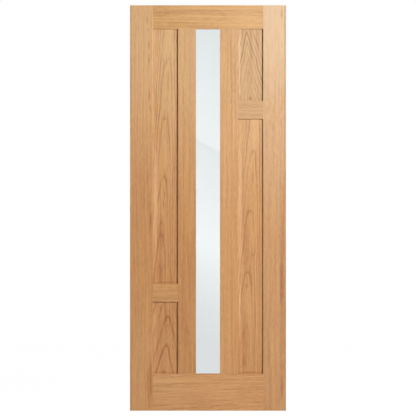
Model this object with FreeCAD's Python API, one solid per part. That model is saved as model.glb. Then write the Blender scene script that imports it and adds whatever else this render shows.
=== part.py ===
import FreeCAD, Part
import os

from FreeCAD import Vector

# Oak panel door leaf with one tall glass slot between two mullions.
# Millimetres. X runs from the hinge edge to the lock edge, Z up from the foot of the leaf,
# and the front face looks along -Y. The origin is on the hinge edge, at the foot, mid thickness.

# Overall size of the leaf
door_width = 762.0
door_height = 1981.0
door_thickness = 35.0

# Framing, as seen on the face
stile_width = 112.0
mullion_width = 88.0
glass_slot_width = 118.0
top_rail_height = 116.0
bottom_rail_height = 181.0
cross_rail_height = 89.0
short_panel_height = 351.0

# Solid strip glued to the outer edge of each stile, part of the stile's width
lipping_thickness = 8.0

# Panels and the grooves that hold them
panel_thickness = 14.0
groove_depth = 10.0
groove_clearance = 0.1
groove_end_gap = 1.0

# Glass, bedded between the front lip and the beads at the back
rebate_depth = 10.0
front_lip = 10.5
glass_thickness = 4.0
glass_edge_gap = 3.0
seal_thickness = 2.0
seal_setback = 1.0
bead_clearance = 0.2

# Eased edges
arris_radius = 0.8
lipping_radius = 1.5

# Places across the width
panel_width = (door_width - 2 * stile_width - 2 * mullion_width - glass_slot_width) / 2
left_panel_x = stile_width
left_mullion_x = left_panel_x + panel_width
slot_x = left_mullion_x + mullion_width
right_mullion_x = slot_x + glass_slot_width
right_panel_x = right_mullion_x + mullion_width
right_stile_x = right_panel_x + panel_width

# Places up the height
opening_foot = bottom_rail_height
opening_head = door_height - top_rail_height
left_cross_z = opening_foot + short_panel_height
right_cross_z = opening_head - short_panel_height - cross_rail_height

# Places through the thickness
front_face = -door_thickness / 2
back_face = door_thickness / 2
groove_half = panel_thickness / 2 + groove_clearance
tenon_length = groove_depth - groove_end_gap
lip_back = front_face + front_lip
glass_front = lip_back + seal_thickness
glass_back = glass_front + glass_thickness
bead_front = glass_back + seal_thickness


def plain_edge(radius):
    """One edge of a member's section, front to back: a flat edge with eased corners."""
    return [(0, front_face, radius), (0, back_face, radius)]


def grooved_edge(radius):
    """An edge with a central groove for the panels, between two lips."""
    return [
        (0, front_face, radius),
        (0, -groove_half, 0),
        (groove_depth, -groove_half, 0),
        (groove_depth, groove_half, 0),
        (0, groove_half, 0),
        (0, back_face, radius),
    ]


def rebated_edge(radius):
    """An edge with a lip at the front and a rebate, open at the back, for the glass and its bead."""
    return [
        (0, front_face, radius),
        (0, lip_back, 0),
        (rebate_depth, lip_back, 0),
        (rebate_depth, back_face, 0),
    ]


def member_section(width, near, far):
    """Corners (across, through, radius) of a member from its near edge and its mirrored far edge."""
    far_side = [(width - across, through, radius) for across, through, radius in far]
    return near + far_side[::-1]


def outline_face(corners, place):
    """A face from (across, through, radius) corners, rounding each corner that has a radius.

    place turns (across, through) into a point of the leaf."""
    points = [Vector(across, through, 0) for across, through, radius in corners]
    edges = []
    run_ends = []
    for i, (across, through, radius) in enumerate(corners):
        before = (points[i - 1] - points[i]).normalize()
        after = (points[(i + 1) % len(points)] - points[i]).normalize()
        start = points[i] + before * radius
        end = points[i] + after * radius
        run_ends.append((start, end))
        if radius > 0:
            centre = points[i] + (before + after) * radius
            middle = centre + (points[i] - centre).normalize() * radius
            arc = [place(p.x, p.y) for p in (start, middle, end)]
            edges.append(Part.Arc(*arc).toShape())
    for i, (start, end) in enumerate(run_ends):
        following = run_ends[(i + 1) % len(run_ends)][0]
        edges.append(Part.makeLine(place(end.x, end.y), place(following.x, following.y)))
    return Part.Face(Part.Wire(Part.__sortEdges__(edges)))


def upright(section, x, z_from, z_to):
    """A vertical member whose section starts at x."""
    face = outline_face(section, lambda across, through: Vector(x + across, through, z_from))
    return face.extrude(Vector(0, 0, z_to - z_from))


def crosspiece(section, z, x_from, x_to):
    """A horizontal member whose section starts at height z."""
    face = outline_face(section, lambda across, through: Vector(x_from, through, z + across))
    return face.extrude(Vector(x_to - x_from, 0, 0))


def slab(x_from, x_to, y_from, y_to, z_from, z_to):
    """A flat rectangular piece between the given limits."""
    corner = Vector(x_from, y_from, z_from)
    return Part.makeBox(x_to - x_from, y_to - y_from, z_to - z_from, corner)


def tenon(x_from, x_to, z_from, z_to):
    """A stub tenon as thick as the panels, which fills a groove."""
    return slab(x_from, x_to, -panel_thickness / 2, panel_thickness / 2, z_from, z_to)


def stiles_and_lippings():
    """The two outer uprights, each with its glued edge strip."""
    core_width = stile_width - lipping_thickness
    flat = plain_edge(0)
    rounded = plain_edge(lipping_radius)
    grooved = grooved_edge(arris_radius)
    left_core = member_section(core_width, flat, grooved)
    right_core = member_section(core_width, grooved, flat)
    left_strip = member_section(lipping_thickness, rounded, flat)
    right_strip = member_section(lipping_thickness, flat, rounded)
    right_strip_x = door_width - lipping_thickness
    return {
        "left_stile": upright(left_core, lipping_thickness, 0, door_height),
        "right_stile": upright(right_core, right_stile_x, 0, door_height),
        "left_lipping": upright(left_strip, 0, 0, door_height),
        "right_lipping": upright(right_strip, right_strip_x, 0, door_height),
    }


def glazing_rebate():
    """The space cut out of the rails behind their front lip, between the two mullions."""
    return slab(
        slot_x - rebate_depth,
        right_mullion_x + rebate_depth,
        lip_back,
        back_face,
        opening_foot - rebate_depth,
        opening_head + rebate_depth,
    )


def rail(section, z, tenon_from, tenon_to):
    """A full rail between the stiles, with a stub tenon at each end and the glazing rebate cut in."""
    body = crosspiece(section, z, stile_width, right_stile_x)
    tenons = [
        tenon(stile_width - tenon_length, stile_width, tenon_from, tenon_to),
        tenon(right_stile_x, right_stile_x + tenon_length, tenon_from, tenon_to),
    ]
    return body.cut(glazing_rebate()).fuse(tenons).removeSplitter()


def rails():
    """The top and bottom rails, grooved on the edge that faces the panels."""
    plain = plain_edge(arris_radius)
    grooved = grooved_edge(arris_radius)
    top = member_section(top_rail_height, grooved, plain)
    bottom = member_section(bottom_rail_height, plain, grooved)
    return {
        "top_rail": rail(top, opening_head, opening_head + groove_depth, door_height),
        "bottom_rail": rail(bottom, 0, 0, opening_foot - groove_depth),
    }


def mullion(section, x, tenon_from, tenon_to):
    """An upright between the rails, with a stub tenon in each rail's groove."""
    body = upright(section, x, opening_foot, opening_head)
    tenons = [
        tenon(tenon_from, tenon_to, opening_foot - tenon_length, opening_foot),
        tenon(tenon_from, tenon_to, opening_head, opening_head + tenon_length),
    ]
    return body.fuse(tenons).removeSplitter()


def mullions():
    """The two uprights beside the glass: a groove towards the panels, a rebate towards the glass."""
    grooved = grooved_edge(arris_radius)
    rebated = rebated_edge(arris_radius)
    left = member_section(mullion_width, grooved, rebated)
    right = member_section(mullion_width, rebated, grooved)
    left_tenon = (left_mullion_x + groove_depth, slot_x - rebate_depth)
    right_tenon = (right_mullion_x + rebate_depth, right_panel_x - groove_depth)
    return {
        "left_mullion": mullion(left, left_mullion_x, *left_tenon),
        "right_mullion": mullion(right, right_mullion_x, *right_tenon),
    }


def cross_rail(x, z):
    """A short rail across one column, grooved above and below, with a stub tenon at each end."""
    grooved = grooved_edge(arris_radius)
    section = member_section(cross_rail_height, grooved, grooved)
    body = crosspiece(section, z, x, x + panel_width)
    tenon_from = z + groove_depth
    tenon_to = z + cross_rail_height - groove_depth
    tenons = [
        tenon(x - tenon_length, x, tenon_from, tenon_to),
        tenon(x + panel_width, x + panel_width + tenon_length, tenon_from, tenon_to),
    ]
    return body.fuse(tenons).removeSplitter()


def cross_rails():
    """The staggered short rails, low in the left column and high in the right one."""
    return {
        "left_cross_rail": cross_rail(left_panel_x, left_cross_z),
        "right_cross_rail": cross_rail(right_panel_x, right_cross_z),
    }


def panel(x, z_from, z_to):
    """A flat panel that fills one opening and reaches into the grooves all round."""
    reach = groove_depth - groove_end_gap
    half = panel_thickness / 2
    return slab(x - reach, x + panel_width + reach, -half, half, z_from - reach, z_to + reach)


def panels():
    """The four panels, a short and a long one in each column."""
    left_cross_top = left_cross_z + cross_rail_height
    right_cross_top = right_cross_z + cross_rail_height
    return {
        "left_short_panel": panel(left_panel_x, opening_foot, left_cross_z),
        "left_long_panel": panel(left_panel_x, left_cross_top, opening_head),
        "right_long_panel": panel(right_panel_x, opening_foot, right_cross_z),
        "right_short_panel": panel(right_panel_x, right_cross_top, opening_head),
    }


def slot_slab(outset, y_from, y_to):
    """A slab as large as the glass slot, grown by outset on every edge."""
    return slab(
        slot_x - outset,
        right_mullion_x + outset,
        y_from,
        y_to,
        opening_foot - outset,
        opening_head + outset,
    )


def glazing():
    """The pane and the bedding strip on each of its faces."""
    cover = rebate_depth - glass_edge_gap

    def seal(y_from, y_to):
        return slot_slab(cover, y_from, y_to).cut(slot_slab(seal_setback, y_from, y_to))

    return {
        "glass_pane": slot_slab(cover, glass_front, glass_back),
        "front_glass_seal": seal(lip_back, glass_front),
        "back_glass_seal": seal(glass_back, bead_front),
    }


def mitre_prism(inner_ends, outer_ends):
    """A trapezium prism through the thickness, from the sight edge of a bead to its outer edge."""
    corners = [Vector(x, bead_front, z) for x, z in inner_ends + outer_ends[::-1]]
    face = Part.Face(Part.makePolygon(corners + corners[:1]))
    return face.extrude(Vector(0, back_face - bead_front, 0))


def bead_section(width):
    """A square bead with an eased corner on the sight edge at the back face."""
    return [
        (0, bead_front, 0),
        (0, back_face, arris_radius),
        (width, back_face, 0),
        (width, bead_front, 0),
    ]


def beads():
    """Four mitred beads that hold the glass from the back, flush with the slot and the back face."""
    width = rebate_depth - bead_clearance
    inner_x = (slot_x, right_mullion_x)
    inner_z = (opening_foot, opening_head)
    outer_x = (inner_x[0] - width, inner_x[1] + width)
    outer_z = (inner_z[0] - width, inner_z[1] + width)
    section = bead_section(width)
    mirrored = [(-across, through, radius) for across, through, radius in section[::-1]]

    def side_bead(profile, column):
        strip = upright(profile, inner_x[column], *outer_z)
        inner_ends = [(inner_x[column], z) for z in inner_z]
        outer_ends = [(outer_x[column], z) for z in outer_z]
        return strip.common(mitre_prism(inner_ends, outer_ends))

    def end_bead(profile, row):
        strip = crosspiece(profile, inner_z[row], *outer_x)
        inner_ends = [(x, inner_z[row]) for x in inner_x]
        outer_ends = [(x, outer_z[row]) for x in outer_x]
        return strip.common(mitre_prism(inner_ends, outer_ends))

    return {
        "left_bead": side_bead(mirrored, 0),
        "right_bead": side_bead(section, 1),
        "bottom_bead": end_bead(mirrored, 0),
        "top_bead": end_bead(section, 1),
    }


def main():
    pieces = {
        **stiles_and_lippings(),
        **rails(),
        **mullions(),
        **cross_rails(),
        **panels(),
        **glazing(),
        **beads(),
    }
    os.makedirs("parts", exist_ok=True)
    for name, shape in pieces.items():
        shape.Solids[0].exportStep(f"parts/{name}.step")


main()
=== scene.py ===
from dataclasses import dataclass
from math import cos, pi, sin

import bpy
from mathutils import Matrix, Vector


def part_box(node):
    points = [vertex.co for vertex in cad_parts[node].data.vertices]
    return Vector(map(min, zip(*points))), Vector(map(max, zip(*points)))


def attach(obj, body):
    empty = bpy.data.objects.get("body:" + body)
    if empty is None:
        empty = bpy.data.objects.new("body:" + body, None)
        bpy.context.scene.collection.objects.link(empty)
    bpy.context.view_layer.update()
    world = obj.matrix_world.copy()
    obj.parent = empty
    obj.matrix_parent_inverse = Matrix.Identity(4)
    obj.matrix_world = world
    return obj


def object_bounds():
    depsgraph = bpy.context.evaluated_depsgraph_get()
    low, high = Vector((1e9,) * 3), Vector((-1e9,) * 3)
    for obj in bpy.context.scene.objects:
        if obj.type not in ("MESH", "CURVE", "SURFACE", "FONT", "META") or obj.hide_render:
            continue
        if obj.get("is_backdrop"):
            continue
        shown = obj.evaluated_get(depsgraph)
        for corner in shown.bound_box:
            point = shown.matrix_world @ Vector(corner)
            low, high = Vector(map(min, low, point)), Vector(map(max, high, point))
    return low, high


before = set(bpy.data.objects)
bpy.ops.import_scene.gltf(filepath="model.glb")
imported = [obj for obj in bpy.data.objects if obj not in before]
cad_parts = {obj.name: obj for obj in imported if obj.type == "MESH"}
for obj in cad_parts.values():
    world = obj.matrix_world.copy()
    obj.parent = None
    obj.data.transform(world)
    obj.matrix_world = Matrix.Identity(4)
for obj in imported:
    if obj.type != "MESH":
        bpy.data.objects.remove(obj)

cad_box = [Vector(corner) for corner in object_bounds()]
leaf_middle = (cad_box[0] + cad_box[1]) / 2
MM = 0.001
WHITE = (1.0, 1.0, 1.0, 1.0)

# Camera: the whole leaf in a square picture, from straight in front
FRAME_HEIGHT = 2.0323
CAMERA_DISTANCE = 14.0
SENSOR = 36.0

# Light: a key and a cool lamp at the upper right, a lamp for the back face, and lamps for the edges
KEY_PLACE = (2.8, -4.0, 2.3)
KEY_SIZE = 0.5
KEY_POWER = 219.0
TOP_LAMP_TARGET = (0.22, 0.0, 2.2)
TOP_LAMP_POWER = 500.0
TOP_LAMP_COLOR = (0.28, 0.65, 1.0)
TOP_LAMP_SPREAD = 0.57
TOP_LAMP_BLEND = 1.0
BACK_LAMP_PLACE = (-3.6, 6.5, 3.2)
BACK_LAMP_POWER = 2200.0
BACK_LAMP_SPREAD = 0.34
EDGE_LAMPS = {"left": ((-1, 0, 0), 50.0), "right": ((1, 0, 0), 50.0), "upper": ((0, 0, 1), 110.0)}
EDGE_LAMP_DISTANCE = 2.5
EDGE_LAMP_SPREAD = 0.9
LAMP_RADIUS = KEY_SIZE / 2
LAMP_BLEND = 0.4
AMBIENT = 0.02


def srgb(red, green, blue):
    """A colour given as screen values from 0 to 255, as linear RGBA."""
    def linear(value):
        value /= 255
        return value / 12.92 if value <= 0.04045 else ((value + 0.055) / 1.055) ** 2.4
    return linear(red), linear(green), linear(blue), 1.0


class Graph:
    """Adds nodes to a tree. Most methods add one node and return its output socket."""

    def __init__(self, tree):
        self.tree = tree

    def add(self, kind, **settings):
        node = self.tree.nodes.new(kind)
        for name, value in settings.items():
            setattr(node, name, value)
        return node

    def feed(self, socket, value):
        if isinstance(value, bpy.types.NodeSocket):
            self.tree.links.new(value, socket)
        else:
            socket.default_value = value

    def math(self, operation, *values, clamp=False):
        node = self.add("ShaderNodeMath", operation=operation, use_clamp=clamp)
        for socket, value in zip(node.inputs, values):
            self.feed(socket, value)
        return node.outputs[0]

    def scaled(self, value, factor, offset=0.0):
        return self.math("MULTIPLY_ADD", value, factor, offset)

    def smooth(self, value, start, end, low=0.0, high=1.0):
        node = self.add("ShaderNodeMapRange", interpolation_type="SMOOTHSTEP")
        for socket, given in zip(node.inputs, (value, start, end, low, high)):
            self.feed(socket, given)
        return node.outputs["Result"]

    def split(self, vector):
        node = self.add("ShaderNodeSeparateXYZ")
        self.feed(node.inputs[0], vector)
        return node.outputs

    def join(self, *parts):
        node = self.add("ShaderNodeCombineXYZ")
        for socket, part in zip(node.inputs, parts):
            self.feed(socket, part)
        return node.outputs[0]

    def vector(self, operation, first, second):
        node = self.add("ShaderNodeVectorMath", operation=operation)
        self.feed(node.inputs[0], first)
        self.feed(node.inputs[1], second)
        return node.outputs["Value" if operation == "DISTANCE" else "Vector"]

    def noise(self, place, rate, detail=2.0, roughness=0.5):
        node = self.add("ShaderNodeTexNoise", noise_dimensions="3D")
        self.feed(node.inputs["Vector"], self.vector("MULTIPLY", place, rate))
        self.feed(node.inputs["Scale"], 1.0)
        self.feed(node.inputs["Detail"], detail)
        self.feed(node.inputs["Roughness"], roughness)
        return node.outputs["Fac"]

    def line_noise(self, value, rate, detail=1.0):
        node = self.add("ShaderNodeTexNoise", noise_dimensions="1D")
        self.feed(node.inputs["W"], value)
        self.feed(node.inputs["Scale"], rate)
        self.feed(node.inputs["Detail"], detail)
        return node.outputs["Fac"]

    def dice(self, value):
        node = self.add("ShaderNodeTexWhiteNoise", noise_dimensions="1D")
        self.feed(node.inputs["W"], value)
        return node.outputs["Value"]

    def blend(self, factor, first, second, mode="MIX"):
        node = self.add("ShaderNodeMix", data_type="RGBA", blend_type=mode)
        self.feed(node.inputs["Factor"], factor)
        self.feed(node.inputs["A"], first)
        self.feed(node.inputs["B"], second)
        return node.outputs["Result"]

    def total(self, start, *terms):
        """start plus each (value, factor) pair, with values taken about their middle of 0.5."""
        for value, factor in terms:
            start = self.math("ADD", start, self.scaled(value, factor, -factor / 2))
        return start


# Oak boards

@dataclass
class Board:
    """How one board was cut and coloured. Lengths are in millimetres, and places from the board's middle.

    Each entry in its list is a ragged patch: its place along and across, its length, width and strength.
    It is brown, or pale where its strength is below zero. Small brown ones are marks in the wood, and long
    thin pale ones are pale strips. The broad pale patches at the tops of boards are painted sheen, paler
    where the light falls on the upper part, and the band across the foot of a panel is painted shade where
    it meets the rail. Other broad patches change a board's tone over large soft areas, some of them painted
    light as noted at each board."""
    node: str
    runs: str  # the way of the grain, up or sideways
    pith: tuple  # the pith's place across the face, and its distance in front of the board's middle
    ring: float  # width of a year's ring
    taper: float  # change of the rings' radius for each millimetre along the grain
    phase: float = 0.0  # part of a year by which the rings are moved on
    uneven: float = 1.6  # how far the years differ, in years
    sway: float = 10.0  # slow wandering of the pith
    ripple: float = 4.0  # small waves of the rings
    figure: float = 0.35  # strength of the ring lines
    line: float = 2.5  # width of a ring line
    fine: float = 0.4  # strength of the finer lines among them
    lean: float = 0.0  # slope of the pith across the face
    tint: tuple = (1.0, 1.0, 1.0)
    # ragged patches: marks in the wood and pale strips, and also painted sheen and painted shade
    flecks_and_painted_light: tuple = ()


BOARDS = [
    # left stile: the broad pale patch at the top is painted sheen; the darker broad patch in the middle and
    # the paler one at the foot are painted light that evens out the lamp's fall-off down the stile
    Board("left_stile", "up", pith=(-170, 70), ring=3.6, taper=0.004, sway=26, tint=(1.005, 1.0, 0.888),
          flecks_and_painted_light=((917, 24, 45, 8, 0.6), (871, 30, 25, 7, 0.4), (795, 33, 50, 9, 0.55),
                  (722, 32, 50, 9, 0.6), (551, 34, 90, 9, 0.7), (488, 37, 45, 8, 0.55),
                  (161, 26, 110, 10, 0.4), (-68, 39, 130, 14, 0.5), (-858, 37, 260, 30, 0.5),
                  (1000, 0, 1600, 400, -0.085), (100, 0, 800, 300, 0.1), (-900, 0, 1000, 300, -0.08))),
    # right stile: the broad pale patch at the top is paler sapwood and also painted sheen, lighter where
    # the light falls at the upper right
    Board("right_stile", "up", pith=(190, 90), ring=3.2, taper=-0.003, sway=22, tint=(0.965, 1.02, 1.02),
          flecks_and_painted_light=((1100, 0, 1600, 400, -0.25), (176, 0, 640, 400, -0.08), (951, 40, 80, 14, 0.25),
                  (-180, 42, 640, 42, 0.36), (-375, 37, 300, 26, 0.3), (-883, 40, 150, 22, 0.4),
                  (-600, 40, 700, 34, 0.25))),
    # left mullion: the broad pale patch at the top is painted sheen
    Board("left_mullion", "up", pith=(150, 60), ring=2.8, taper=0.003, sway=16, tint=(0.95, 0.93, 0.79),
          flecks_and_painted_light=((900, 0, 1500, 400, -0.085), (-463, -13, 740, 55, 0.18))),
    # right mullion: the darker patch at the top is painted shade, toning it down where the lamps are
    # strongest
    Board("right_mullion", "up", pith=(-160, 80), ring=3.0, taper=0.002, sway=16, figure=0.2,
          tint=(1.03, 1.052, 0.948),
          flecks_and_painted_light=((750, 0, 1000, 200, 0.14),)),
    # top rail: the pale patch at the right end is painted sheen; the warm, low-blue tint is partly the
    # rail's tone and partly painted light that takes the sheen off the rail
    Board("top_rail", "sideways", pith=(150, 70), ring=7.0, taper=0.03, sway=8, ripple=2, figure=0.55,
          line=3, lean=-0.05, tint=(1.0, 0.985, 0.752),
          flecks_and_painted_light=((-210, 20, 220, 60, 0.15), (200, 0, 300, 200, -0.05))),
    # bottom rail: the brighter tint is painted light that makes up for less light at the foot of the leaf
    Board("bottom_rail", "sideways", pith=(-150, 80), ring=7.0, taper=-0.02, sway=12, ripple=2, figure=0.5,
          line=3, lean=0.06, tint=(1.09, 1.15, 1.12),
          flecks_and_painted_light=((-200, 0, 300, 300, -0.05), (200, 0, 300, 300, 0.07))),
    Board("left_cross_rail", "sideways", pith=(120, 60), ring=9.0, taper=0.02, sway=6, ripple=2,
          figure=0.22, line=4, fine=0.2, tint=(1.01, 1.06, 0.96)),
    Board("right_cross_rail", "sideways", pith=(-130, 60), ring=9.0, taper=0.02, sway=6, ripple=2,
          figure=0.25, line=4, fine=0.2, tint=(0.911, 0.98, 0.974)),
    # left long panel: the broad pale patch at the top is painted sheen, and the band across the foot is
    # painted shade where the panel meets the rail below
    Board("left_long_panel", "up", pith=(-6, 110), ring=4.26, taper=0.0143, phase=0.19, uneven=0,
          ripple=1.6, figure=1.05, line=8, lean=0.039, tint=(0.995, 1.002, 0.875),
          flecks_and_painted_light=((650, 0, 1300, 400, -0.085), (372, 14, 160, 14, 0.35), (123, 2, 100, 30, 0.2),
                  (-238, -9, 105, 9, 0.5), (-190, -5, 60, 9, 0.4), (-121, 4, 70, 7, 0.35),
                  (-41, 19, 25, 8, 0.3), (-380, -20, 240, 46, 0.4), (-570, -26, 190, 38, 0.6),
                  (-254, -48, 680, 27, -0.3), (-619, 0, 22, 200, 0.35))),
    # left short panel: the band across the foot is painted shade where the panel meets the rail below
    Board("left_short_panel", "up", pith=(6, 12), ring=34.0, taper=0.24, phase=0.161, uneven=0, sway=6,
          ripple=10, figure=1.1, line=10, lean=0.065, tint=(0.97, 0.98, 0.89),
          flecks_and_painted_light=((146, -24, 40, 14, 0.35), (60, -50, 400, 26, -0.15), (-165, -9, 30, 30, 0.4),
                  (-172, 0, 22, 200, 0.35))),
    # right long panel: the broad pale patch at the top is painted sheen, and the band across the foot is
    # painted shade where the panel meets the rail below
    Board("right_long_panel", "up", pith=(-8, 110), ring=4.4, taper=0.0155, phase=0.019, uneven=0, sway=12,
          ripple=1.6, figure=0.9, line=8, lean=0.043, tint=(1.01, 1.05, 0.952),
          flecks_and_painted_light=((622, 0, 700, 400, -0.05), (339, 11, 80, 8, 0.5), (-30, -14, 480, 52, 0.38),
                  (250, -5, 300, 40, 0.22), (-42, 11, 30, 10, 0.4), (-115, -3, 90, 9, 0.4),
                  (-191, -19, 60, 14, 0.5), (-259, -11, 45, 12, 0.35), (-453, -27, 330, 38, 0.34),
                  (-564, -32, 120, 30, 0.42), (150, -51, 1000, 24, -0.27), (-310, -53, 320, 12, -0.3),
                  (-619, 0, 22, 200, 0.35))),
    # right short panel: the band across the foot is painted shade where the panel meets the rail below
    Board("right_short_panel", "up", pith=(-10, 7), ring=16.0, taper=0.25, uneven=1.2, sway=8, ripple=12,
          figure=0.8, line=9, fine=0.0, lean=-0.065, tint=(0.916, 1.016, 1.016),
          flecks_and_painted_light=((-162, -3, 25, 18, 0.35), (30, -54, 520, 12, -0.3), (-172, 0, 22, 200, 0.15))),
    Board("left_lipping", "up", pith=(-90, 120), ring=3.4, taper=0.003, tint=(0.95, 0.97, 0.97)),
    Board("right_lipping", "up", pith=(90, 120), ring=3.4, taper=0.003, tint=(0.88, 0.91, 0.91)),
    Board("left_bead", "up", pith=(60, 90), ring=2.6, taper=0.003),
    Board("right_bead", "up", pith=(-60, 90), ring=2.6, taper=0.003),
    Board("top_bead", "sideways", pith=(50, 80), ring=2.6, taper=0.003),
    Board("bottom_bead", "sideways", pith=(-50, 80), ring=2.6, taper=0.003),
]

# Colours of the wood
OAK_LIGHT = srgb(208, 153, 99)
OAK_DARK = srgb(156, 90, 47)
OAK_WARM = srgb(204, 144, 96)
# pale oak for the pale strips and sapwood, and for the painted sheen at the tops of boards
OAK_PALE_AND_SHEEN = srgb(231, 193, 160)

# How often a mark repeats in a millimetre along the grain, across the face and through the thickness
RIPPLE_RATE = (0.007, 0.03, 0.03)
BREAK_RATE = (0.008, 0.04, 0.04)
STREAK_RATE = (0.003, 0.12, 0.12)
FIBRE_RATE = (0.03, 0.9, 0.9)
PORE_RATE = (0.11, 2.4, 2.4)
TICK_RATE = (0.07, 1.3, 0.25)
PATCH_RATE = (0.004, 0.014, 0.014)
MOTTLE_RATE = (0.035, 0.22, 0.22)
FLECK_RATE = (0.02, 0.25, 0.25)

# How often the pith wanders in a millimetre, and how often growth and tone change in a year
SWAY_RATE = 0.0045
GROWTH_RATE = 0.6
BAND_RATE = 0.22

# Levels of noise between which a mark fades in
BREAK_EDGE = (0.35, 0.6)
PORE_EDGE = (0.56, 0.68)
TICK_EDGE = (0.68, 0.74)
PATCH_EDGE = (0.3, 0.7)

# Ragged patches, the painted sheen and shade among them: the shares of its half size over which one fades
# out, and how ragged its rim is
FLECK_EDGE = (0.2, 1.1)
FLECK_RAGGED = 1.4

# How dark the plain wood is and how much each mark adds, where 0 is light and 1 is dark
PLAIN_SHARE = 0.14
BAND_SHARE = 0.3
STREAK_SHARE = 1.45
FIBRE_SHARE = 1.05
MOTTLE_SHARE = 0.75
PORE_SHARE = 0.5
TICK_SHARE = 0.22

# Most of the warm colour that a patch takes
WARM_SHARE = 0.35

# Ring lines
LINE_PEAK = 0.4  # where a line is darkest, in line widths
LINE_END = 1.3  # where it ends, in line widths
LINE_WIDEST = 0.45  # most of the spacing that a line's width may take
LINE_LATEST = 0.8  # share of the spacing from which a line is cut short
LINE_WEAKEST = 0.3  # strength of the weakest line
LINE_BROKEN = 0.6  # strength where a line is broken
FINE_LINES = 4.0  # fine lines in a year
FINE_WIDTH = 0.5  # their width, as a share of a ring line's
PORES_BETWEEN = 0.25  # strength of the pores between the lines

# Satin lacquer: its roughness, and the relief that the marks leave in it
ROUGHNESS = 0.4
FIBRE_ROUGHNESS = 0.12
PORE_ROUGHNESS = 0.2
LINE_RELIEF = -0.3
FIBRE_RELIEF = 0.25
PORE_RELIEF = -1.0
RELIEF_STRENGTH = 0.25
RELIEF_DEPTH = 0.2 * MM

# How far a board's seed moves it through the wood, in three directions, and its ragged patches along it
SEED_STEPS = (731.0, 57.0, 1.0)
FLECK_SEED_STEP = 100


def group_graph(name, inputs, outputs):
    """A node group with the given inputs and outputs, each a name and a socket kind."""
    tree = bpy.data.node_groups.new(name, "ShaderNodeTree")
    for way, sockets in (("INPUT", inputs), ("OUTPUT", outputs)):
        for label, kind in sockets.items():
            tree.interface.new_socket(label, in_out=way, socket_type=f"NodeSocket{kind}")
    graph = Graph(tree)
    return graph, graph.add("NodeGroupInput").outputs, graph.add("NodeGroupOutput").inputs


def growth_rings(graph, given, place):
    """Years counted outward from a wandering pith line, and how much the face cuts across the rings."""
    along, across, through = graph.split(given["Board"])
    drift = graph.line_noise(graph.split(place)[0], SWAY_RATE, detail=2.0)
    drift = graph.math("SUBTRACT", drift, 0.5)
    shift = graph.math("MULTIPLY_ADD", along, given["Lean"], graph.math("MULTIPLY", drift, given["Sway"]))
    across = graph.math("SUBTRACT", across, shift)
    side = graph.math("SUBTRACT", across, given["Pith Across"])
    depth = graph.math("ADD", through, given["Pith Depth"])
    reach = graph.math("SQRT", graph.math("MULTIPLY_ADD", side, side, graph.math("MULTIPLY", depth, depth)))
    lateral = graph.math("DIVIDE", side, reach)
    rising = graph.math("MULTIPLY", given["Taper"], given["Taper"])
    slope = graph.math("SQRT", graph.math("MULTIPLY_ADD", lateral, lateral, rising))
    ripple = graph.math("SUBTRACT", graph.noise(place, RIPPLE_RATE), 0.5)
    reach = graph.math("MULTIPLY_ADD", ripple, given["Ripple"], reach)
    reach = graph.math("MULTIPLY_ADD", along, given["Taper"], reach)
    years = graph.math("DIVIDE", reach, given["Ring Width"])
    growth = graph.line_noise(graph.math("ADD", years, given["Seed"]), GROWTH_RATE)
    uneven = graph.math("MULTIPLY", growth, given["Uneven"])
    years = graph.math("ADD", graph.math("ADD", years, uneven), given["Phase"])
    return years, slope


def ring_lines(graph, given, years, slope, per_year, width):
    """Dark lines of even width on the face, so many to a year, some stronger than others."""
    count = graph.math("MULTIPLY", years, per_year)
    season = graph.math("FRACT", count)
    spacing = graph.math("DIVIDE", given["Ring Width"], graph.math("MULTIPLY", slope, per_year))
    width = graph.math("MINIMUM", width, graph.math("MULTIPLY", spacing, LINE_WIDEST))
    distance = graph.math("DIVIDE", graph.math("MULTIPLY", season, spacing), width)
    rise = graph.smooth(distance, 0.0, LINE_PEAK)
    fall = graph.smooth(distance, LINE_PEAK, LINE_END, low=1.0, high=0.0)
    stop = graph.smooth(season, LINE_LATEST, 1.0, low=1.0, high=0.0)
    line = graph.math("MULTIPLY", graph.math("MULTIPLY", rise, fall), stop)
    strength = graph.dice(graph.math("ADD", graph.math("FLOOR", count), given["Seed"]))
    return graph.math("MULTIPLY", line, graph.scaled(strength, 1 - LINE_WEAKEST, LINE_WEAKEST))


def ring_figure(graph, given, place):
    """The years, the main ring lines, and all ring lines together, broken here and there."""
    years, slope = growth_rings(graph, given, place)
    early = ring_lines(graph, given, years, slope, per_year=1.0, width=given["Line"])
    fine_width = graph.math("MULTIPLY", given["Line"], FINE_WIDTH)
    fine = ring_lines(graph, given, years, slope, per_year=FINE_LINES, width=fine_width)
    rings = graph.math("MULTIPLY_ADD", fine, given["Fine"], early)
    broken = graph.smooth(graph.noise(place, BREAK_RATE), *BREAK_EDGE, low=LINE_BROKEN)
    return years, early, graph.math("MULTIPLY", rings, broken)


def wood_marks(graph, place, years, early):
    """Bands of tone, fibre streaks, open pores, ticks where rays end on the face, patches and mottle."""
    pore = graph.smooth(graph.noise(place, PORE_RATE, detail=1.0), *PORE_EDGE)
    return {
        "band": graph.line_noise(years, BAND_RATE),
        "streak": graph.noise(place, STREAK_RATE, detail=3.0, roughness=0.6),
        "fibre": graph.noise(place, FIBRE_RATE, detail=3.0, roughness=0.6),
        "pore": graph.math("MULTIPLY", pore, graph.scaled(early, 1 - PORES_BETWEEN, PORES_BETWEEN)),
        "tick": graph.smooth(graph.noise(place, TICK_RATE, detail=0.0), *TICK_EDGE),
        "patch": graph.smooth(graph.noise(place, PATCH_RATE), *PATCH_EDGE, high=WARM_SHARE),
        "mottle": graph.noise(place, MOTTLE_RATE),
    }


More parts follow.
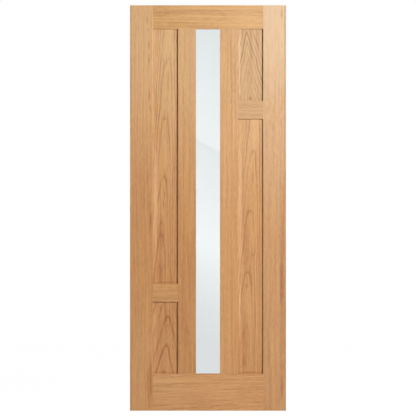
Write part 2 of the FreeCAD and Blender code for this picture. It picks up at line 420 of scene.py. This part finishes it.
def wood_color(graph, given, rings, marks):
    """From light to dark by all the marks and dark patches, then warm patches, pale patches and the board's
    tint. Some dark patches are painted shade, some pale ones painted sheen, and some tints take up painted
    light.
    """
    # dark patches darken the wood here, among them the painted shade bands at the panels' feet and other
    # painted shade patches
    dark = graph.math("ADD", given["Fleck And Painted Light"], PLAIN_SHARE)
    dark = graph.math("MULTIPLY_ADD", rings, given["Figure"], dark)
    dark = graph.total(
        dark,
        (marks["band"], BAND_SHARE),
        (marks["streak"], STREAK_SHARE),
        (marks["fibre"], FIBRE_SHARE),
        (marks["mottle"], MOTTLE_SHARE),
    )
    dark = graph.math("MULTIPLY_ADD", marks["pore"], PORE_SHARE, dark)
    dark = graph.math("MULTIPLY_ADD", marks["tick"], TICK_SHARE, dark, clamp=True)
    color = graph.blend(dark, OAK_LIGHT, OAK_DARK)
    color = graph.blend(marks["patch"], color, OAK_WARM)
    # pale patches blend towards pale oak, among them the painted sheen at the tops of boards
    pale = graph.math("MULTIPLY", given["Fleck And Painted Light"], -1.0, clamp=True)
    color = graph.blend(pale, color, OAK_PALE_AND_SHEEN)
    return graph.blend(1.0, color, given["Tint"], "MULTIPLY")


def oak_group():
    """Oak as a solid: its rings, streaks and pores are cut by whatever face the board has.

    Board holds millimetres along the grain, across the face and through the thickness."""
    numbers = (
        "Seed", "Pith Across", "Pith Depth", "Ring Width", "Taper", "Phase", "Uneven", "Sway", "Ripple",
        "Figure", "Line", "Fine", "Lean", "Fleck And Painted Light",
    )
    inputs = {"Board": "Vector", "Tint": "Color", **{name: "Float" for name in numbers}}
    outputs = {"Color": "Color", "Roughness": "Float", "Height": "Float"}
    graph, given, result = group_graph("oak solid", inputs, outputs)
    shift = graph.join(*[graph.math("MULTIPLY", given["Seed"], step) for step in SEED_STEPS])
    place = graph.vector("ADD", given["Board"], shift)
    years, early, rings = ring_figure(graph, given, place)
    marks = wood_marks(graph, place, years, early)
    roughness = graph.scaled(marks["fibre"], FIBRE_ROUGHNESS, ROUGHNESS)
    height = graph.scaled(marks["fibre"], FIBRE_RELIEF, graph.scaled(marks["pore"], PORE_RELIEF))
    graph.feed(result["Color"], wood_color(graph, given, rings, marks))
    graph.feed(result["Roughness"], graph.scaled(marks["pore"], PORE_ROUGHNESS, roughness))
    graph.feed(result["Height"], graph.scaled(early, LINE_RELIEF, height))
    return graph.tree


def new_material(name):
    """A node material with one Principled shader, and the graph to feed it."""
    material = bpy.data.materials.new(name)
    material.use_nodes = True
    return material, Graph(material.node_tree), material.node_tree.nodes["Principled BSDF"]


def object_place(graph):
    """Object coordinates, which here are metres in the part's own frame."""
    return graph.add("ShaderNodeTexCoord").outputs["Object"]


def dress(node, material):
    """Puts a material on a CAD node."""
    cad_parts[node].material_slots[0].material = material


def board_place(graph, board):
    """Millimetres along the grain, across the face and through the thickness, from the board's middle."""
    low, high = (Vector(corner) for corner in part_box(board.node))
    middle = (low + high) / 2
    order = {"up": (2, 0, 1), "sideways": (0, 2, 1)}[board.runs]
    axes = graph.split(object_place(graph))
    return graph.join(*[graph.scaled(axes[i], 1 / MM, -middle[i] / MM) for i in order])


def fleck_and_painted_light_mask(graph, place, board, seed):
    """How dark the board's ragged patches are, or below zero how pale, with ragged ends and edges. Some are
    painted sheen and painted shade.
    """
    moved = graph.vector("ADD", place, (FLECK_SEED_STEP * seed, 0, 0))
    ragged = graph.noise(moved, FLECK_RATE, detail=3.0)
    mask = 0.0
    for along, across, length, width, strength in board.flecks_and_painted_light:
        scale = (2 / length, 2 / width, 0.0)
        middle = (along * scale[0], across * scale[1], 0)
        reach = graph.vector("DISTANCE", graph.vector("MULTIPLY", place, scale), middle)
        reach = graph.total(reach, (ragged, FLECK_RAGGED))
        mask = graph.math("ADD", mask, graph.smooth(reach, *FLECK_EDGE, low=strength, high=0.0))
    return mask


def oak(group, board, seed):
    """The material of one board, with satin lacquer that leaves the pores a little open."""
    material, graph, shader = new_material(f"oak {board.node}")
    wood = graph.add("ShaderNodeGroup", node_tree=group)
    place = board_place(graph, board)
    values = {
        "Board": place,
        "Seed": seed,
        "Pith Across": board.pith[0],
        "Pith Depth": board.pith[1],
        "Ring Width": board.ring,
        "Taper": board.taper,
        "Phase": board.phase,
        "Uneven": board.uneven,
        "Sway": board.sway,
        "Ripple": board.ripple,
        "Figure": board.figure,
        "Line": board.line,
        "Fine": board.fine,
        "Lean": board.lean,
        "Tint": (*board.tint, 1.0),
        "Fleck And Painted Light": fleck_and_painted_light_mask(graph, place, board, seed),
    }
    for name, value in values.items():
        graph.feed(wood.inputs[name], value)
    bump = graph.add("ShaderNodeBump")
    graph.feed(bump.inputs["Strength"], RELIEF_STRENGTH)
    graph.feed(bump.inputs["Distance"], RELIEF_DEPTH)
    graph.feed(bump.inputs["Height"], wood.outputs["Height"])
    graph.feed(shader.inputs["Base Color"], wood.outputs["Color"])
    graph.feed(shader.inputs["Roughness"], wood.outputs["Roughness"])
    graph.feed(shader.inputs["Normal"], bump.outputs["Normal"])
    return material


def dress_boards():
    """Gives every board a piece of the same oak, each from another place in the tree."""
    group = oak_group()
    for seed, board in enumerate(BOARDS, start=1):
        dress(board.node, oak(group, board, float(seed)))


# Glass and its bedding

GLASS_TINTS = ((0.925, 0.962, 0.96, 1.0), (0.935, 0.968, 0.97, 1.0))
GLASS_CLOUD_RATE = (4.0, 4.0, 1.5)
GLASS_IOR = 1.5
SEAL_COLORS = (srgb(122, 84, 52), srgb(92, 60, 36))
SEAL_GRAIN_RATE = (900.0, 900.0, 900.0)
SEAL_ROUGHNESS = 0.55
GRAIN_ROUGHNESS = 0.2


def dress_glass():
    """Clear float glass with a faint green tint that is hardly uneven."""
    material, graph, shader = new_material("float glass")
    cloud = graph.noise(object_place(graph), GLASS_CLOUD_RATE, detail=1.0)
    graph.feed(shader.inputs["Base Color"], graph.blend(cloud, *GLASS_TINTS))
    graph.feed(shader.inputs["Roughness"], 0.0)
    graph.feed(shader.inputs["Transmission Weight"], 1.0)
    graph.feed(shader.inputs["IOR"], GLASS_IOR)
    dress("glass_pane", material)


def dress_seals():
    """Oak-brown bedding strip with a fine grainy surface."""
    material, graph, shader = new_material("bedding strip")
    grain = graph.noise(object_place(graph), SEAL_GRAIN_RATE, detail=3.0, roughness=0.6)
    graph.feed(shader.inputs["Base Color"], graph.blend(grain, *SEAL_COLORS))
    graph.feed(shader.inputs["Roughness"], graph.scaled(grain, GRAIN_ROUGHNESS, SEAL_ROUGHNESS))
    for node in ("front_glass_seal", "back_glass_seal"):
        dress(node, material)


# Pins of the glazing beads, on the back face

PIN_RADIUS = 1.1 * MM
PIN_RISE = 0.2 * MM
PIN_SHOULDER_RADIUS = 0.66 * MM
PIN_SHOULDER_RISE = 0.14 * MM
PIN_SPACING = 180 * MM
PIN_SIDES = 12
PIN_COLORS = (srgb(172, 118, 70), srgb(140, 90, 50))
PIN_GRAIN_RATE = (1500.0, 1500.0, 1500.0)
PIN_ROUGHNESS = 0.5


def pin_row(node):
    """Evenly spaced places along the middle of a bead's back face."""
    low, high = (Vector(corner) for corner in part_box(node))
    size = high - low
    way = 2 if size.z > size.x else 0
    count = max(2, round(size[way] / PIN_SPACING))
    for step in range(count):
        place = (low + high) / 2
        place.y = high.y
        place[way] = low[way] + size[way] * (step + 0.5) / count
        yield place


def pin_head(place):
    """A filled pin hole: a low dome with its rim just under the bead's face."""
    rim_and_shoulder = [(PIN_RADIUS, -PIN_RISE), (PIN_SHOULDER_RADIUS, PIN_SHOULDER_RISE)]
    points = [
        place + Vector((radius * cos(turn), rise, radius * sin(turn)))
        for radius, rise in rim_and_shoulder
        for turn in (2 * pi * side / PIN_SIDES for side in range(PIN_SIDES))
    ]
    points.append(place + Vector((0, PIN_RISE, 0)))
    top = len(points) - 1
    faces = []
    for side in range(PIN_SIDES):
        following = (side + 1) % PIN_SIDES
        faces.append((side, PIN_SIDES + side, PIN_SIDES + following, following))
        faces.append((PIN_SIDES + side, top, PIN_SIDES + following))
    faces.append(tuple(range(PIN_SIDES)))
    return points, faces


def pin_filler():
    """Brown filler, a little darker than the beads."""
    material, graph, shader = new_material("pin filler")
    grain = graph.noise(object_place(graph), PIN_GRAIN_RATE)
    graph.feed(shader.inputs["Base Color"], graph.blend(grain, *PIN_COLORS))
    graph.feed(shader.inputs["Roughness"], graph.scaled(grain, GRAIN_ROUGHNESS, PIN_ROUGHNESS))
    return material


def make_pins():
    """All the filled pin holes as one piece."""
    points = []
    faces = []
    for node in ("left_bead", "right_bead", "top_bead", "bottom_bead"):
        for place in pin_row(node):
            head_points, head_faces = pin_head(place)
            faces += [tuple(len(points) + index for index in face) for face in head_faces]
            points += head_points
    mesh = bpy.data.meshes.new("bead_pins")
    mesh.from_pydata(points, [], faces)
    mesh.materials.append(pin_filler())
    pins = bpy.data.objects.new("bead_pins", mesh)
    bpy.context.collection.objects.link(pins)
    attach(pins, "root")


# Stage: a pale floor, a reflector that the pane shows, and a pale room round the leaf

FLOOR_HALF = 8.0
FLOOR_COLOR = (0.4, 0.4, 0.4, 1.0)
FLOOR_ROUGHNESS = 0.9
FLOOR_GLOW = 1.062
FLOOR_GLOW_SHARE = 0.93
CARD_FOOT = 0.001
REFLECTOR_SPAN = (0.2, 0.56)
REFLECTOR_Y = -6.58
REFLECTOR_TOP = 2.6
REFLECTOR_COLOR = (0.93, 1.0, 1.0, 1.0)
REFLECTOR_SLANT = 0.6
REFLECTOR_PEAK = 7.0
ROOM_SPAN = (-4.0, 4.8)
ROOM_HALF_DEPTH = 0.6
ROOM_TOP = 5.0
ROOM_COLOR = (0.742, 0.747, 0.752, 1.0)

# Heights on the reflector and how bright it is there
REFLECTOR_STOPS = [
    (0.0, 1.0), (0.26, 2.1), (0.6, 4.8), (0.72, 6.1), (1.4, 3.6),
    (1.43, 2.6), (1.445, 5.2), (1.84, 4.2), (2.24, 2.6), (2.5, 1.8),
]


def seen_directly(graph):
    """1 for rays from the camera, a reflection or through the glass, 0 for gathered light."""
    path = graph.add("ShaderNodeLightPath").outputs
    seen = graph.math("MAXIMUM", path["Is Camera Ray"], path["Is Glossy Ray"])
    return graph.math("MAXIMUM", seen, path["Is Transmission Ray"])


def mix_shaders(graph, factor, first, second):
    node = graph.add("ShaderNodeMixShader")
    for socket, value in zip(node.inputs, (factor, first, second)):
        graph.feed(socket, value)
    return node.outputs[0]


def show_surface(material, graph, shader):
    """Makes a shader the one that the material shows."""
    graph.feed(material.node_tree.nodes["Material Output"].inputs["Surface"], shader)


def make_world():
    """White to the eye, and a plain ambient light on the object."""
    world = bpy.data.worlds.new("studio")
    bpy.context.scene.world = world
    world.use_nodes = True
    world.node_tree.nodes.clear()
    graph = Graph(world.node_tree)

    def background(strength):
        node = graph.add("ShaderNodeBackground")
        graph.feed(node.inputs["Color"], WHITE)
        graph.feed(node.inputs["Strength"], strength)
        return node.outputs[0]

    both = mix_shaders(graph, seen_directly(graph), background(AMBIENT), background(1.0))
    graph.feed(graph.add("ShaderNodeOutputWorld").inputs["Surface"], both)


def plane(name, corners, material):
    """A flat stage piece with one face."""
    mesh = bpy.data.meshes.new(name)
    mesh.from_pydata(corners, [], [tuple(range(len(corners)))])
    mesh.materials.append(material)
    piece = bpy.data.objects.new(name, mesh)
    bpy.context.collection.objects.link(piece)
    piece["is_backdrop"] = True
    return piece


def level_plane(name, x_span, y_span, height, material):
    """A flat stage piece that lies level."""
    left, right = x_span
    front, back = y_span
    corners = [(left, front, height), (right, front, height), (right, back, height), (left, back, height)]
    return plane(name, corners, material)


def upright_card(name, x_span, y, top, material):
    """A flat stage piece that stands just above the floor, parallel to the leaf."""
    left, right = x_span
    corners = [(left, y, CARD_FOOT), (right, y, CARD_FOOT), (right, y, top), (left, y, top)]
    return plane(name, corners, material)


def make_floor():
    """Pale floor that looks white where it is lit and keeps a faint shadow."""
    material, graph, shader = new_material("pale floor")
    graph.feed(shader.inputs["Base Color"], FLOOR_COLOR)
    graph.feed(shader.inputs["Roughness"], FLOOR_ROUGHNESS)
    glow = graph.add("ShaderNodeEmission")
    graph.feed(glow.inputs["Strength"], FLOOR_GLOW)
    share = graph.math("MULTIPLY", seen_directly(graph), FLOOR_GLOW_SHARE)
    show_surface(material, graph, mix_shaders(graph, share, shader.outputs[0], glow.outputs[0]))
    span = (-FLOOR_HALF, FLOOR_HALF)
    level_plane("floor", span, span, 0, material)


def glow_material(name, color, strength):
    """A plain glow. Its strength is a number, or a function that makes a socket for it."""
    material, graph = new_material(name)[:2]
    glow = graph.add("ShaderNodeEmission")
    graph.feed(glow.inputs["Color"], color)
    graph.feed(glow.inputs["Strength"], strength(graph) if callable(strength) else strength)
    show_surface(material, graph, glow.outputs[0])
    return material


def only_seen_in(piece, glossy=False, transmission=False):
    """Hides a card from the camera and from gathered light, and shows it to the given rays alone."""
    piece.visible_camera = False
    piece.visible_diffuse = False
    piece.visible_shadow = False
    piece.visible_volume_scatter = False
    piece.visible_glossy = glossy
    piece.visible_transmission = transmission


def pane_reflection(graph):
    """Brightness up the reflector, in zones that slant down from left to right."""
    x, _, z = graph.split(object_place(graph))
    height = graph.scaled(x, REFLECTOR_SLANT, graph.math("SUBTRACT", z, REFLECTOR_SLANT * leaf_middle.x))
    ramp = graph.add("ShaderNodeValToRGB")
    elements = ramp.color_ramp.elements
    while len(elements) < len(REFLECTOR_STOPS):
        elements.new(1.0)
    for element, (place, level) in zip(elements, REFLECTOR_STOPS):
        share = level / REFLECTOR_PEAK
        element.position = place / REFLECTOR_TOP
        element.color = (share, share, share, 1.0)
    graph.feed(ramp.inputs["Fac"], graph.math("DIVIDE", height, REFLECTOR_TOP))
    return graph.math("MULTIPLY", ramp.outputs["Color"], REFLECTOR_PEAK)


def make_cards():
    """The reflector in front of the leaf, and the pale room seen through the pane from both faces."""
    streak = glow_material("pane card", REFLECTOR_COLOR, pane_reflection)
    reflector = upright_card("pane_card", REFLECTOR_SPAN, REFLECTOR_Y, REFLECTOR_TOP, streak)
    only_seen_in(reflector, glossy=True)
    pale = glow_material("room card", ROOM_COLOR, 1.0)
    front, back = -ROOM_HALF_DEPTH, ROOM_HALF_DEPTH
    room = [
        upright_card("room_behind", ROOM_SPAN, back, ROOM_TOP, pale),
        upright_card("room_in_front", ROOM_SPAN, front, ROOM_TOP, pale),
        level_plane("room_below", ROOM_SPAN, (front, back), CARD_FOOT, pale),
    ]
    for card in room:
        only_seen_in(card, transmission=True)


def aim(piece, place, target):
    """Puts a camera or lamp at a place and turns it to a target."""
    piece.location = place
    piece.rotation_euler = (Vector(target) - Vector(place)).to_track_quat("-Z", "Y").to_euler()


def add_light(name, kind, power, place, target):
    """A lamp of the given kind, with its power in watts."""
    data = bpy.data.lights.new(name, kind)
    data.energy = power
    light = bpy.data.objects.new(name, data)
    bpy.context.collection.objects.link(light)
    aim(light, place, target)
    return data


def make_lights():
    """The key and the cool lamp, the back lamp, and lamps that face the two sides and the top."""
    key = add_light("key", "AREA", KEY_POWER, KEY_PLACE, leaf_middle)
    key.shape = "DISK"
    key.size = KEY_SIZE
    top = add_light("top lamp", "SPOT", TOP_LAMP_POWER, KEY_PLACE, TOP_LAMP_TARGET)
    top.color = TOP_LAMP_COLOR
    top.spot_size = TOP_LAMP_SPREAD
    top.spot_blend = TOP_LAMP_BLEND
    top.shadow_soft_size = LAMP_RADIUS
    back = add_light("back lamp", "SPOT", BACK_LAMP_POWER, BACK_LAMP_PLACE, leaf_middle)
    back.spot_size = BACK_LAMP_SPREAD
    back.spot_blend = LAMP_BLEND
    back.shadow_soft_size = LAMP_RADIUS
    half = (cad_box[1] - cad_box[0]) / 2
    for name, (way, power) in EDGE_LAMPS.items():
        place = [leaf_middle[i] + way[i] * (half[i] + EDGE_LAMP_DISTANCE) for i in range(3)]
        edge = add_light(f"{name} edge lamp", "SPOT", power, place, leaf_middle)
        edge.spot_size = EDGE_LAMP_SPREAD
        edge.spot_blend = LAMP_BLEND


def make_camera():
    """A long lens straight in front of the leaf's middle."""
    data = bpy.data.cameras.new("camera")
    data.sensor_width = SENSOR
    data.lens = SENSOR * CAMERA_DISTANCE / FRAME_HEIGHT
    camera = bpy.data.objects.new("camera", data)
    bpy.context.collection.objects.link(camera)
    front = Vector((leaf_middle.x, cad_box[0].y, leaf_middle.z))
    aim(camera, front - Vector((0, CAMERA_DISTANCE, 0)), front)
    bpy.context.scene.camera = camera


def write_sizes():
    boxes = {"cad": cad_box, "visual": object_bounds()}
    {name: [list(corner) for corner in box] for name, box in boxes.items()}


bpy.context.scene.view_settings.view_transform = "Standard"
make_camera()
make_world()
make_floor()
make_cards()
make_lights()
dress_boards()
dress_glass()
dress_seals()
make_pins()
write_sizes()
